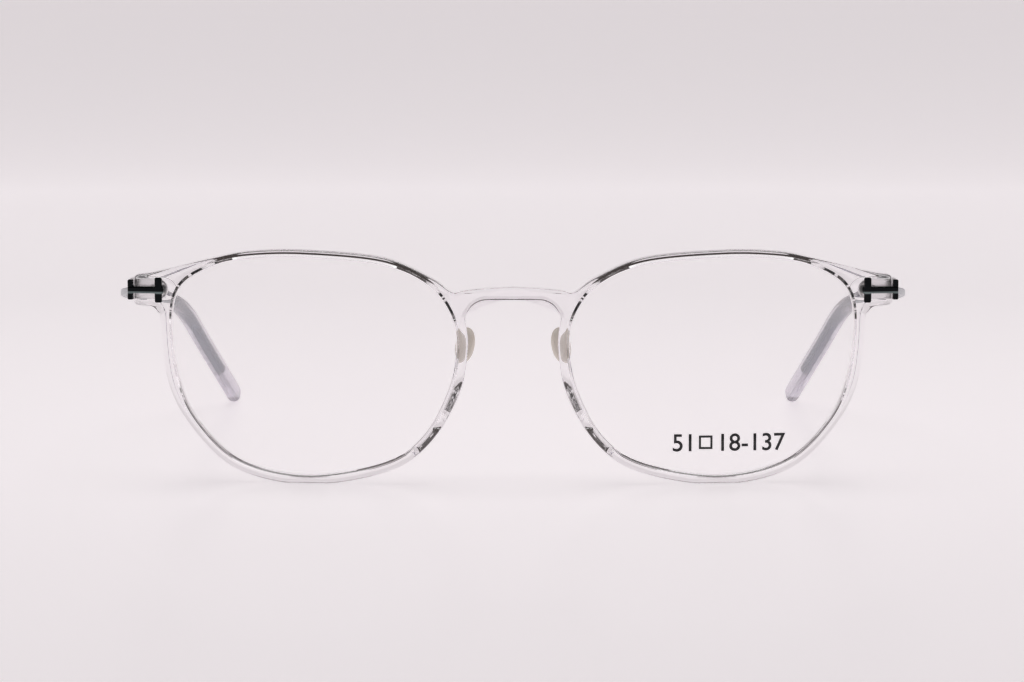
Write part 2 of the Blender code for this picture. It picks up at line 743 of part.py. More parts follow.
def main():
    clear_scene()
    parts = new_collection("eyeglasses_frame")
    cutters = new_collection("cutters")

    crystal = material("clear_plastic", (0.86, 0.85, 0.87), 0.06, alpha=0.35)
    lens_clear = material("demo_lens", (0.95, 0.96, 0.96), 0.03, alpha=0.12)
    pad_clear = material("pad_plastic", (0.72, 0.67, 0.63), 0.25, alpha=0.6)
    gunmetal = material("dark_trim_metal", (0.012, 0.013, 0.015), 0.12, metallic=1.0)
    nickel = material("nickel_silver", (0.78, 0.78, 0.76), 0.22, metallic=1.0)
    steel = material("arm_metal", (0.50, 0.53, 0.56), 0.28, metallic=1.0)
    tip_clear = material("tip_plastic", (0.66, 0.62, 0.72), 0.10, alpha=0.45)

    front = make_front(parts, cutters)
    set_finish(front, crystal)
    both_sides(make_lens(parts), lens_clear, parts)
    both_sides(make_pad(parts), pad_clear, parts)
    both_sides(make_trim(parts, cutters), gunmetal, parts)
    both_sides(make_front_leaf(parts, cutters), nickel, parts)
    both_sides(make_screw(parts, cutters), steel, parts)
    for rivet in make_rivets(parts, cutters):
        both_sides(rivet, nickel, parts)

    pivots = {
        1: make_pivot("left_temple_pivot", HINGE_X, parts),
        -1: make_pivot("right_temple_pivot", -HINGE_X, parts),
    }
    bpy.context.view_layer.update()
    both_sides(make_temple_leaf(parts, cutters), nickel, parts, pivots)
    both_sides(make_arm(parts, cutters), steel, parts, pivots)
    both_sides(make_tip(parts, cutters), tip_clear, parts, pivots)

    for tool in cutters.objects:
        tool.hide_render = True
        tool.display_type = "WIRE"


main()
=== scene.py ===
"""Looks for the clear eyeglasses frame: its visible pieces, their finishes and the studio."""

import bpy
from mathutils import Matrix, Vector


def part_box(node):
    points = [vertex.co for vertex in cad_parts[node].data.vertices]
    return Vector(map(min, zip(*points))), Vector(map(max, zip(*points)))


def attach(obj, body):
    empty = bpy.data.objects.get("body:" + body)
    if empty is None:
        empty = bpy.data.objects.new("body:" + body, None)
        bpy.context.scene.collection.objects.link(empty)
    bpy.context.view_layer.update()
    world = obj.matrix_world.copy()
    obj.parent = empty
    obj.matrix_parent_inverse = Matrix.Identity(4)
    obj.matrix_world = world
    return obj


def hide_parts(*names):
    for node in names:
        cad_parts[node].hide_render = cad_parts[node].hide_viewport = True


bl_info = {
    "name": "Crystal Eyeglasses Frame",
    "version": (1, 0, 0),
    "blender": (4, 5, 0),
    "location": "View3D > Sidebar > Eyewear",
    "description": "Clear full-rim spectacles with metal corner trims, slim temples and clear tips",
    "category": "Add Mesh",
}

import math

import bmesh
import bpy
from mathutils import Matrix, Vector

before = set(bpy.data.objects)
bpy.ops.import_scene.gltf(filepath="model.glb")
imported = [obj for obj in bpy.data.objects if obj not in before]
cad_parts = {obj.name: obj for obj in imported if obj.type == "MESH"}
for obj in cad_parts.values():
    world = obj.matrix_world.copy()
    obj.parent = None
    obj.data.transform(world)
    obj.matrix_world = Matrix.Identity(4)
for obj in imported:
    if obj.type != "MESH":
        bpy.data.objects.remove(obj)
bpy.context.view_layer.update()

# Corners of the CAD pieces that the sizes below are read from
FRONT_LOW, FRONT_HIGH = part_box("front_frame")
LENS_LOW, LENS_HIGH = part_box("lens_left")
SCREW_LOW, SCREW_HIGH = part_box("hinge_screw_left")
TRIM_LOW, TRIM_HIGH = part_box("corner_trim_left")
LEAF_LOW, LEAF_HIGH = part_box("hinge_leaf_left")
RIVET_LOW, RIVET_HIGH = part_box("hinge_rivet_upper_left")
ARM_LOW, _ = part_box("temple_arm_left")
TEMPLE_LEAF_LOW, TEMPLE_LEAF_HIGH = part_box("temple_leaf_left")
_, TIP_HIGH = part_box("temple_tip_left")
PAD_LOW, PAD_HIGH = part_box("nose_pad_left")

MM = 0.001
LENS_IN_GROOVE = 0.4 * MM  # how far the lens reaches past the clear opening
OPENING_INNER = LENS_LOW.x + LENS_IN_GROOVE
OPENING_OUTER = LENS_HIGH.x - LENS_IN_GROOVE
OPENING_BOTTOM = LENS_LOW.z + LENS_IN_GROOVE
OPENING_TOP = LENS_HIGH.z - LENS_IN_GROOVE
HINGE_X = (SCREW_LOW.x + SCREW_HIGH.x) / 2
HINGE_Y = (SCREW_LOW.y + SCREW_HIGH.y) / 2
LEAF_HALF = (LEAF_HIGH.z - LEAF_LOW.z) / 2
HINGE_Z = (LEAF_HIGH.z + LEAF_LOW.z) / 2
HINGE_CENTRE = (HINGE_X, HINGE_Y, HINGE_Z)
FRONT_Y = FRONT_LOW.y
ENDPIECE_X = FRONT_HIGH.x
KNUCKLE_RADIUS = LEAF_HIGH.y - HINGE_Y
ARM_X = ENDPIECE_X + 0.5 * MM
TEMPLE_REACH = TIP_HIGH.y - HINGE_Y

# The rims' section
RIM_DEPTH = 3.8 * MM
WRAP_RADIUS = 310 * MM  # the front is bent round the face
RIM_TOP, RIM_OUTER, RIM_BOTTOM, RIM_NOSE = 1.2 * MM, 2.0 * MM, 1.5 * MM, 1.9 * MM
EDGE_ROUND = 0.5 * MM
INNER_ROUND = 0.28 * MM
NOSE_BEVEL = 1.25 * MM  # cut off the back edge beside the nose
BEVEL_START, BEVEL_BREAK, BEVEL_END = 9.5, 10.40, 11.5  # rows of SHAPE
GROOVE_DEPTH = 0.55 * MM
GROOVE_FLOOR = 0.06 * MM  # half the width of the groove's floor
GROOVE_ROOM = 0.04 * MM  # between a lens face and the groove's mouth
LENS_THICKNESS = 1.2 * MM
LENS_EDGE = 0.45 * MM  # how far the made lens reaches past the clear opening
LENS_Y = RIM_DEPTH * 0.45

# The opening's shape from its centre, and the rim's width there. -1 is the nose side or the
# bottom, 1 the temple side or the top.
SHAPE = [
    (0.07, 1.0, RIM_TOP),
    (0.459, 0.984, RIM_TOP),
    (0.695, 0.922, RIM_TOP),
    (0.932, 0.736, RIM_OUTER),
    (1.0, 0.414, RIM_OUTER),
    (0.952, -0.126, RIM_OUTER),
    (0.812, -0.524, RIM_BOTTOM),
    (0.519, -0.872, RIM_BOTTOM),
    (0.054, -1.0, RIM_BOTTOM),
    (-0.477, -0.885, RIM_BOTTOM),
    (-0.76, -0.644, RIM_BOTTOM),
    (-0.946, -0.202, RIM_NOSE),
    (-1.0, 0.196, RIM_NOSE),
    (-0.952, 0.503, RIM_NOSE),
    (-0.79, 0.764, RIM_TOP),
    (-0.475, 0.937, RIM_TOP),
]
TOP_ROWS = [14, 15, 0, 1, 2]  # rows whose rim edge the upper outline follows
SIDE_ROWS = [4, 5, 6, 7, 8, 9, 10, 11, 12]  # rows whose rim edge the lower outline follows
BRIDGE_TOP = OPENING_TOP - 5.1 * MM
BRIDGE_THICKNESS = 2.2 * MM
CORNER_RADIUS = 1.0 * MM
HEEL_RADIUS = 0.8 * MM
ENDPIECE_HALF = LEAF_HALF + 0.9 * MM

# Hinge, rivets and screw
LEAF_THICK = 0.9 * MM
POCKET_DEPTH = 0.95 * MM
MIDDLE_KNUCKLE = 1.2 * MM
KNUCKLE_GAPS = 1.5 * MM  # the middle knuckle and the air on both sides of it
SCREW_BORE, SCREW_RADIUS = 0.55 * MM, 0.5 * MM
RIVET_HOLE, RIVET_RADIUS = 0.47 * MM, 0.45 * MM
RIVET_SIDES = 32

# Corner trims
BAR_WIDTH = 1.3 * MM
STEM_HALF = 0.6 * MM
BAR_PROUD, STEM_PROUD = 0.8 * MM, 0.72 * MM  # of the front's face
SEAT = 0.02 * MM  # how far a part sits in or off its neighbour


# -------- sizes a user would change


def length(name, description, default):
    return bpy.props.FloatProperty(
        name=name, description=description, default=default, unit="LENGTH"
    )


def tint(name, description, default):
    return bpy.props.FloatVectorProperty(
        name=name, description=description, default=default, subtype="COLOR", min=0, max=1
    )


class FrameSizes(bpy.types.PropertyGroup):
    columns: bpy.props.IntProperty(
        name="Columns", description="Mesh columns along one stretch of rim",
        default=12, min=4, max=40,
    )
    crown: length("Crown", "How far the front face swells between its edges", 0.12 * MM)
    print_height: length("Print height", "Height of the size numerals on the lens", 3.0 * MM)
    core_gap: length(
        "Core gap", "Air between the temple's core and its sleeve; below 0 it grips", -0.03 * MM
    )


class FrameColours(bpy.types.PropertyGroup):
    crystal: tint("Crystal", "What the clear front lets through", (0.985, 0.975, 0.985))
    tips: tint("Tips", "Tint of the ear tips", (0.90, 0.87, 0.95))
    pads: tint("Pads", "Tint of the nose pads", (0.80, 0.74, 0.68))
    trim: tint("Trim", "Dark polished metal of the corner trims", (0.008, 0.009, 0.010))
    backdrop: tint("Backdrop", "Colour of the floor and wall", (0.80, 0.757, 0.777))


# -------- shader maths


OBJECT_COORDINATES, MIXED_COLOUR, LENGTH = 3, 2, 1  # outputs of their nodes


class Value:
    """A socket that takes part in Python expressions by adding Math nodes."""

    def __init__(self, graph, socket):
        self.graph = graph
        self.socket = socket

    def maths(self, operation, *others):
        sockets = {i: other for i, other in enumerate(others)}
        return self.graph.add("ShaderNodeMath", {"operation": operation}, sockets)

    def __add__(self, other):
        return self.maths("ADD", self, other)

    def __sub__(self, other):
        return self.maths("SUBTRACT", self, other)

    def __rsub__(self, other):
        return self.maths("SUBTRACT", other, self)

    def __mul__(self, other):
        return self.maths("MULTIPLY", self, other)

    __radd__ = __add__
    __rmul__ = __mul__


class Graph:
    """The nodes of one material."""

    def __init__(self, name):
        self.material = bpy.data.materials.new(name)
        self.material.use_nodes = True
        self.tree = self.material.node_tree
        self.shader = self.tree.nodes["Principled BSDF"]

    def add(self, kind, settings=None, sockets=None, out=0):
        """A node of this kind with its settings first, then its sockets' values or links."""
        node = self.tree.nodes.new(kind)
        for key, value in (settings or {}).items():
            setattr(node, key, value)
        self.feed(node, sockets or {})
        return Value(self, node.outputs[out])

    def feed(self, node, sockets):
        for key, value in sockets.items():
            if isinstance(value, Value):
                self.tree.links.new(value.socket, node.inputs[key])
            else:
                node.inputs[key].default_value = value

    def surface(self, **sockets):
        """Sets the Principled shader's sockets, named with underscores for spaces."""
        self.feed(self.shader, {key.replace("_", " "): value for key, value in sockets.items()})
        return self.material

    def place(self):
        """Object coordinates, in metres."""
        return self.add("ShaderNodeTexCoord", out=OBJECT_COORDINATES)

    def along(self, axis):
        """One of the object coordinates: 0, 1 or 2 for X, Y or Z."""
        return self.add("ShaderNodeSeparateXYZ", sockets={"Vector": self.place()}, out=axis)

    def noise(self, scale, detail, stretch=(1, 1, 1)):
        stretched = self.add(
            "ShaderNodeMapping", sockets={"Vector": self.place(), "Scale": stretch}
        )
        return self.add(
            "ShaderNodeTexNoise", sockets={"Vector": stretched, "Scale": scale, "Detail": detail}
        )

    def step(self, value, low, high):
        """0 below low, 1 above high."""
        sockets = {"Value": value, "From Min": low, "From Max": high}
        return self.add("ShaderNodeMapRange", sockets=sockets)

    def mix(self, share, first, second):
        sockets = {"Factor": share, "A": first, "B": second}
        return self.add("ShaderNodeMix", {"data_type": "RGBA"}, sockets, out=MIXED_COLOUR)

    def bump(self, height, strength, distance):
        sockets = {"Height": height, "Strength": strength, "Distance": distance}
        return self.add("ShaderNodeBump", sockets=sockets)


def rgba(colour, scale=1.0):
    return (*(min(1.0, channel * scale) for channel in colour), 1.0)


def chosen(colour):
    """One of the colours a user can change."""
    return tuple(getattr(bpy.context.scene.eyewear_colours, colour))


# -------- finishes

PLASTIC_IOR = 1.49
SLATE = (0.085, 0.135, 0.175, 1)
DRAWN_GREY = (0.42, 0.44, 0.46, 1)
# colour of a painted reflection on the trims' lower bevel, not a plating colour
PAINTED_BEVEL_REFLECTION = (0.15, 0.185, 0.185, 1)


def clear_plastic():
    """Polished crystal moulding: a faint ripple from the mould and a breath of tint."""
    colour = chosen("crystal")
    graph = Graph("crystal_plastic")
    drift = graph.noise(60, 2)
    fine = graph.noise(900, 2)
    return graph.surface(
        Base_Color=graph.mix(drift, rgba(colour), rgba(colour, 0.97)),
        Roughness=fine * 0.02 + 0.005,
        IOR=PLASTIC_IOR,
        Transmission_Weight=1.0,
        Normal=graph.bump(drift, 0.15, 0.00005),
    )


def lens_plastic():
    """Thin clear demo lens, a touch warm."""
    graph = Graph("demo_lens_plastic")
    fine = graph.noise(200, 2)
    return graph.surface(
        Base_Color=graph.mix(fine, (0.995, 0.99, 0.992, 1), (0.985, 0.985, 0.985, 1)),
        Roughness=fine * 0.01,
        IOR=PLASTIC_IOR,
        Transmission_Weight=1.0,
    )


def pad_plastic():
    """Milky soft pads with a painted glow: a faint emission lightens them, though nothing lights
    them from within.
    """
    colour = chosen("pads")
    graph = Graph("pad_plastic")
    cloud = graph.noise(700, 3)
    return graph.surface(
        Base_Color=graph.mix(cloud, rgba(colour), rgba(colour, 0.93)),
        Roughness=cloud * 0.1 + 0.12,
        IOR=1.45,
        Transmission_Weight=0.2,
        # painted glow: this emission lightens the pads as if they were lit, though they are no lamp
        Emission_Color=rgba(colour),
        Emission_Strength=0.14,
        Normal=graph.bump(cloud, 0.2, 0.00003),
    )


def tip_plastic():
    """Clear sleeve with a breath of violet."""
    colour = chosen("tips")
    graph = Graph("tip_plastic")
    drift = graph.noise(120, 2)
    return graph.surface(
        Base_Color=graph.mix(drift, rgba(colour), rgba(colour, 0.96)),
        Roughness=drift * 0.03 + 0.03,
        IOR=PLASTIC_IOR,
        Transmission_Weight=0.7,
        Normal=graph.bump(drift, 0.1, 0.00005),
    )


def metal(name, colour, roughness, spread, stretch, scale):
    """Metal with fine marks, which stretch narrows along each axis."""
    graph = Graph(name)
    marks = graph.noise(scale, 4, stretch)
    cloud = graph.noise(250, 2)
    return graph.surface(
        Base_Color=graph.mix(cloud, rgba(colour), rgba(colour, 1.25)),
        Metallic=1.0,
        Roughness=marks * spread + roughness,
        Normal=graph.bump(marks, 0.08, 0.00002),
    )


def nickel_silver():
    return metal("nickel_silver", (0.93, 0.93, 0.92), 0.22, 0.16, (1, 1, 10), 700)


def screw_steel():
    return metal("screw_steel", (0.50, 0.51, 0.52), 0.18, 0.2, (1, 1, 12), 900)


def arm_metal():
    """Drawn grey metal; the core inside the tip is slate."""
    graph = Graph("arm_metal")
    sleeve = HINGE_Y + TEMPLE_REACH - TIP_LENGTH
    core = graph.step(graph.along(1), sleeve - 1 * MM, sleeve + 4 * MM)
    marks = graph.noise(500, 4, (12, 1, 12))
    return graph.surface(
        Base_Color=graph.mix(core, DRAWN_GREY, SLATE),
        Metallic=1.0,
        Roughness=marks * 0.14 + 0.20,
        Normal=graph.bump(marks, 0.08, 0.00002),
    )


def trim_metal():
    """Black-plated metal; a paler band along the stem's lower bevel is a painted reflection, not
    paler plating.
    """
    colour = chosen("trim")
    graph = Graph("dark_trim_metal")
    height = graph.along(2)
    # heights of the band where a reflection is painted onto the lower bevel
    above = graph.step(height, HINGE_Z - 0.36 * MM, HINGE_Z - 0.22 * MM)
    below = graph.step(height, HINGE_Z - 0.70 * MM, HINGE_Z - 0.62 * MM)
    marks = graph.noise(900, 4, (1, 1, 8))
    cloud = graph.noise(250, 2)
    plated = graph.mix(cloud, rgba(colour), rgba(colour, 1.25))
    return graph.surface(
        Base_Color=graph.mix(below - above, plated, PAINTED_BEVEL_REFLECTION),
        Metallic=1.0,
        Roughness=marks * 0.08 + 0.06,
        Normal=graph.bump(marks, 0.08, 0.00002),
    )


def print_ink():
    """Black printing ink, slightly uneven."""
    graph = Graph("print_ink")
    speckle = graph.noise(4000, 3)
    return graph.surface(
        Base_Color=graph.mix(speckle, (0.012, 0.012, 0.014, 1), (0.03, 0.03, 0.032, 1)),
        Roughness=speckle * 0.2 + 0.4,
    )


FINISHES = {}


def finish_of(slot):
    """The material made for one of the record's slots, made on first use."""
    makers = {
        "clear_plastic": clear_plastic,
        "demo_lens": lens_plastic,
        "pad_plastic": pad_plastic,
        "tip_plastic": tip_plastic,
        "trim_metal": trim_metal,
        "hinge_metal": nickel_silver,
        "screw_steel": screw_steel,
        "arm_metal": arm_metal,
    }
    if slot not in FINISHES:
        FINISHES[slot] = makers[slot]()
    return FINISHES[slot]


# -------- modelling helpers


WELD = 1e-8  # joins a loop's two ends and nothing else
ON_MIDDLE = 1e-7  # how near x = 0 counts as on it


def deselect():
    if bpy.context.mode != "OBJECT":
        bpy.ops.object.mode_set(mode="OBJECT")
    bpy.ops.object.select_all(action="DESELECT")


def pick(piece):
    """Selects one object alone and makes it the active one."""
    deselect()
    piece.select_set(True)
    bpy.context.view_layer.objects.active = piece


def added(name):
    """The object that an operator has just added, named with its mesh."""
    piece = bpy.context.object
    piece.name = piece.data.name = name
    return piece


def close_edit():
    """Turns all faces outwards and leaves edit mode."""
    bpy.ops.mesh.select_all(action="SELECT")
    bpy.ops.mesh.normals_make_consistent(inside=False)
    bpy.ops.object.mode_set(mode="OBJECT")


def clamp(share):
    return min(1.0, max(0.0, share))


def eased(share):
    """A share from 0 to 1 that starts and ends gently."""
    return share * share * (3 - 2 * share)


def turns(sides):
    """The angles of a regular polygon's corners."""
    return [2 * math.pi * k / sides for k in range(sides)]


def wrap(x):
    """How far behind the bridge the front's surface lies at this x."""
    return x * x / (2 * WRAP_RADIUS)


def on_front(point, depth):
    """A point of the front's plan (x, z) at this depth behind the front face."""
    return Vector((point.x, FRONT_Y + wrap(point.x) + depth, point.y))


def loft(name, rings, start="merge", end="merge"):
    """A circle drawn out from ring to ring. Its ends merge, fill, stay open or join each other."""
    deselect()
    bpy.ops.mesh.primitive_circle_add(vertices=len(rings[0]), radius=1)
    piece = added(name)
    if end == "join":
        rings = rings + [rings[0]]
    bpy.ops.object.mode_set(mode="EDIT")
    bpy.ops.mesh.select_mode(type="EDGE")
    bpy.ops.mesh.select_all(action="SELECT")
    work = bmesh.from_edit_mesh(piece.data)
    work.verts.ensure_lookup_table()
    first = last = list(work.verts)
    place_ring(last, rings[0])
    for ring in rings[1:]:
        bpy.ops.mesh.extrude_edges_move()
        last = [drawn_out(vert) for vert in last]
        place_ring(last, ring)
    bmesh.update_edit_mesh(piece.data)
    if end == "join":
        bpy.ops.mesh.select_all(action="SELECT")
        bpy.ops.mesh.remove_doubles(threshold=WELD)
    else:
        for ring, close in ((first, start), (last, end)):
            if close == "open":
                continue
            bpy.ops.mesh.select_all(action="DESELECT")
            for vert in ring:
                vert.select = True
            work.select_flush_mode()
            for edge in work.edges:
                edge.select = edge.verts[0].select and edge.verts[1].select
            if close == "merge":
                bpy.ops.mesh.merge(type="CENTER")
            else:
                bpy.ops.mesh.edge_face_add()
    close_edit()
    return piece


def place_ring(verts, ring):
    for vert, place in zip(verts, ring):
        vert.co = place


def drawn_out(vert):
    """The new point that an extrusion drew out of this one."""
    others = (edge.other_vert(vert) for edge in vert.link_edges)
    return next(other for other in others if other.select)


def plate(name, outline, low, high, rounding, wrapped=True, segments=3):
    """A plate of this outline (x, z) between two depths, its edges rounded."""
    deselect()
    bpy.ops.mesh.primitive_circle_add(vertices=len(outline), radius=1, fill_type="NGON")
    piece = added(name)
    bpy.ops.object.mode_set(mode="EDIT")
    bpy.ops.mesh.select_all(action="SELECT")
    work = bmesh.from_edit_mesh(piece.data)
    for vert, point in zip(work.verts, outline):
        vert.co = Vector((point.x, low, point.y))
    bpy.ops.mesh.extrude_region_move()
    for vert in work.verts:
        if vert.select:
            vert.co.y = high
    close_edit()
    if rounding:
        round_edges(piece, rounding, segments)
    if wrapped:
        for vert in piece.data.vertices:
            vert.co.y += FRONT_Y + wrap(vert.co.x)
    return piece


def block(name, low, high, rounding, segments=3):
    """A box between two corners, its edges rounded."""
    (left, front, bottom), (right, back, top) = low, high
    corners = ((left, bottom), (right, bottom), (right, top), (left, top))
    outline = [Vector(corner) for corner in corners]
    return plate(name, outline, front, back, rounding, wrapped=False, segments=segments)


def rod(name, centre, radius, length, rounding, along="Z", sides=48):
    """A round rod along Z or Y, its edges rounded."""
    deselect()
    bpy.ops.mesh.primitive_cylinder_add(
        vertices=sides, radius=radius, depth=length, location=centre,
        rotation=(math.pi / 2, 0, 0) if along == "Y" else (0, 0, 0),
    )
    piece = added(name)
    bpy.ops.object.transform_apply(location=True, rotation=True, scale=True)
    if rounding:
        round_edges(piece, rounding, 3)
    return piece


def round_edges(piece, width, segments):
    use_modifier(
        piece, "BEVEL", width=width, segments=segments,
        limit_method="ANGLE", angle_limit=math.radians(40),
    )


def use_modifier(piece, kind, **settings):
    """Adds a modifier with these settings and applies it."""
    pick(piece)
    bpy.ops.object.modifier_add(type=kind)
    change = piece.modifiers[-1]
    for key, value in settings.items():
        setattr(change, key, value)
    bpy.ops.object.modifier_apply(modifier=change.name)


def combine(piece, others, operation):
    """Adds or cuts the other solids and removes them."""
    for other in others:
        use_modifier(piece, "BOOLEAN", operation=operation, object=other, solver="EXACT")
        bpy.data.objects.remove(other, do_unlink=True)
    return piece


def mirrored(piece, name):
    """A twin on the other side of x = 0 with its own mesh."""
    twin = piece.copy()
    twin.data = piece.data.copy()
    twin.name = name
    twin.data.name = name
    bpy.context.scene.collection.objects.link(twin)
    twin.data.transform(Matrix.Scale(-1, 4, (1, 0, 0)))
    twin.data.flip_normals()
    return twin


def hand_in(piece, slot, body, node, angle=35):
    """Finishes a piece and hangs it on its body in place of its CAD node."""
    pick(piece)
    bpy.ops.object.shade_smooth_by_angle(angle=math.radians(angle))
    piece.data.materials.clear()
    piece.data.materials.append(finish_of(slot))
    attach(piece, body)
    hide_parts(node)


def hand_in_pair(piece, slot, body, node, angle=35):
    """Finishes a left piece named for its node, and its right twin."""
    twin = mirrored(piece, piece.name.replace("left", "right"))
    hand_in(piece, slot, body, node, angle)
    hand_in(twin, slot, body.replace("left", "right"), node.replace("left", "right"), angle)


# -------- outlines


def curve_at(points, place, closed):
    """The point of a Catmull-Rom curve at a real-numbered place among its points."""
    count = len(points)
    i = min(int(place), count - 1 if closed else count - 2)
    t = place - i
    if closed:
        a, b, c, d = (points[(i + k - 1) % count] for k in range(4))
    else:
        a, b, c, d = (points[min(max(i + k - 1, 0), count - 1)] for k in range(4))
    second = 2 * a - 5 * b + 4 * c - d
    third = 3 * b - a - 3 * c + d
    return 0.5 * (2 * b + (c - a) * t + second * t**2 + third * t**3)


def smooth(points, steps, closed=False):
    """Points along the curve through these, so many to a span."""
    spans = len(points) if closed else len(points) - 1
    made = [curve_at(points, k / steps, closed) for k in range(spans * steps)]
    return made if closed else made + [points[-1]]


def evenly(line, count):
    """Points at equal distances along a line, without its last one."""
    lengths = [0.0]
    for a, b in zip(line, line[1:]):
        lengths.append(lengths[-1] + (b - a).length)
    made, i = [], 0
    for k in range(count):
        want = lengths[-1] * k / count
        while lengths[i + 1] < want:
            i += 1
        share = (want - lengths[i]) / max(lengths[i + 1] - lengths[i], 1e-12)
        made.append(line[i].lerp(line[i + 1], share))
    return made


def outward(points, i):
    """The direction across a line that runs clockwise, away from its inside."""
    along = points[(i + 1) % len(points)] - points[i - 1]
    return Vector((-along.y, along.x)).normalized()


def arc(centre, radius, start, end, steps=8):
    """Points of an arc between two angles in degrees."""
    angles = (math.radians(start + (end - start) * k / steps) for k in range(steps + 1))
    return [centre + radius * Vector((math.cos(a), math.sin(a))) for a in angles]


def opening_rows():
    """The left opening's SHAPE at its size and place."""
    half = Vector((OPENING_OUTER - OPENING_INNER, OPENING_TOP - OPENING_BOTTOM)) / 2
    centre = Vector((OPENING_OUTER + OPENING_INNER, OPENING_TOP + OPENING_BOTTOM)) / 2
    return [centre + Vector((u * half.x, w * half.y)) for u, w, _ in SHAPE]


def outer_lines(steps):
    """The left half's outer edge: over the bridge and rim, round the endpiece's corners, and
    under the rim to the bridge."""
    rows = opening_rows()
    rim = [row + outward(rows, i) * SHAPE[i][2] for i, row in enumerate(rows)]
    inner, top = OPENING_INNER, BRIDGE_TOP
    high, low = HINGE_Z + ENDPIECE_HALF, HINGE_Z - ENDPIECE_HALF
    bridge_top = [
        Vector((0, top)),
        Vector((0.43 * inner, top - 0.2 * MM)),
        Vector((0.70 * inner, top - 0.45 * MM)),
        Vector((0.92 * inner, top - 0.75 * MM)),
        Vector((inner + 0.9 * MM, top - 1.0 * MM)),
    ]
    corner = Vector((ENDPIECE_X - CORNER_RADIUS, high - CORNER_RADIUS))
    heel = Vector((ENDPIECE_X - HEEL_RADIUS, low + HEEL_RADIUS))
    shoulder = [
        Vector((OPENING_OUTER + 1.2 * MM, high + 0.85 * MM)),
        Vector((OPENING_OUTER + 3.8 * MM, high + 0.25 * MM)),
        corner + Vector((0, CORNER_RADIUS)),
    ]
    armpit = [
        heel - Vector((0, HEEL_RADIUS)),
        Vector((OPENING_OUTER + 3.4 * MM, low - 0.4 * MM)),
        Vector((OPENING_OUTER + 2.4 * MM, low - 1.4 * MM)),
    ]
    bottom = top - BRIDGE_THICKNESS
    under = [
        Vector((inner - 1.4 * MM, bottom - 3.3 * MM)),
        Vector((inner - 1.8 * MM, bottom - 2.1 * MM)),
        Vector((0.73 * inner, bottom - 1.0 * MM)),
        Vector((0.61 * inner, bottom - 0.3 * MM)),
        Vector((0.46 * inner, bottom)),
        Vector((0, bottom)),
    ]
    over = smooth(bridge_top + [rim[i] for i in TOP_ROWS] + shoulder, steps)
    below = smooth(armpit + [rim[i] for i in SIDE_ROWS] + under, steps)
    corners = arc(corner, CORNER_RADIUS, 90, 0) + arc(heel, HEEL_RADIUS, 0, -90)
    return over, corners, below


def nose_bevel(row):
    """How much of the nose bevel the rim's back has at this row: all, but at its ends and break."""
    rise = clamp((row - BEVEL_START) / 0.3)
    drop = clamp((BEVEL_END - row) / 0.4)
    dip = clamp(abs(row - BEVEL_BREAK) / 0.15)
    return eased(min(rise, drop, dip))


def columns_of_front():
    """Matching points round the left half's opening and outer edge, which of them lie on x = 0,
    and their shares of the nose bevel."""
    steps, dense_steps = 24, 64
    per_row = bpy.context.scene.eyewear_sizes.columns
    over, corners, below = outer_lines(steps)
    rows = opening_rows()
    first, last = 5 * steps, 9 * steps  # rim points 14 and 2 along the upper line
    left, right = 3 * steps, 11 * steps  # rim points 4 and 12 along the lower line
    inside, outside, plane, bevel = [], [], [], []

    def stretch(start, rows_long, line, count, flat=False):
        places = [start + rows_long * k / dense_steps for k in range(dense_steps + 1)]
        dense = [curve_at(rows, place % len(rows), True) for place in places]
        inside.extend(evenly(dense, count))
        outside.extend(evenly(line, count))
        plane.extend([flat] * count)
        bevel.extend(nose_bevel(start + rows_long * k / count) for k in range(count))

    for k in range(4):
        stretch(14 + k, 1, over[first + k * steps : first + (k + 1) * steps + 1], per_row)
    stretch(2, 2, over[last:] + corners[1:-1] + below[: left + 1], 5 * per_row)
    for k in range(8):
        stretch(4 + k, 1, below[left + k * steps : left + (k + 1) * steps + 1], per_row)
    stretch(12, 0.9, below[right:], 2 * per_row)
    stretch(12.9, 0.35, [below[-1], over[0]], per_row, flat=True)
    stretch(13.25, 0.75, over[: first + 1], 2 * per_row)
    outside = [Vector((point.x, max(point.y, 0.0))) for point in outside]
    return inside, outside, plane, bevel


def section_of_front():
    """The rim's section round its loop, as (kind, amount, depth). The amount is a share of the way
    from the opening to the outer edge on a face, and a set-in elsewhere. On the back edge both
    numbers are shares of its bevel."""
    depth, outer, inner = RIM_DEPTH, EDGE_ROUND, INNER_ROUND
    rounds = [math.radians(a) for a in (0, 22, 45, 68, 90)]
    made = [("face", t, 0.0) for t in (0.0, 0.33, 0.67)]
    made += [("outer", outer * (1 - math.sin(a)), outer * (1 - math.cos(a))) for a in rounds]
    made += [("outer", 0.0, depth * 0.5)]
    made += [("back", (1 - math.cos(a)), (1 - math.sin(a))) for a in rounds]
    made += [("face", t, depth) for t in (0.67, 0.33)]
    made += [
        ("inner", inner * (1 - math.sin(a)), depth - inner * (1 - math.cos(a))) for a in rounds
    ]
    half = LENS_THICKNESS / 2 + GROOVE_ROOM
    made += [("inner", 0.0, LENS_Y + half), ("inner", GROOVE_DEPTH, LENS_Y + GROOVE_FLOOR)]
    made += [("inner", GROOVE_DEPTH, LENS_Y - GROOVE_FLOOR), ("inner", 0.0, LENS_Y - half)]
    made += [
        ("inner", inner * (1 - math.cos(a)), inner * (1 - math.sin(a))) for a in rounds[:-1]
    ]
    return made


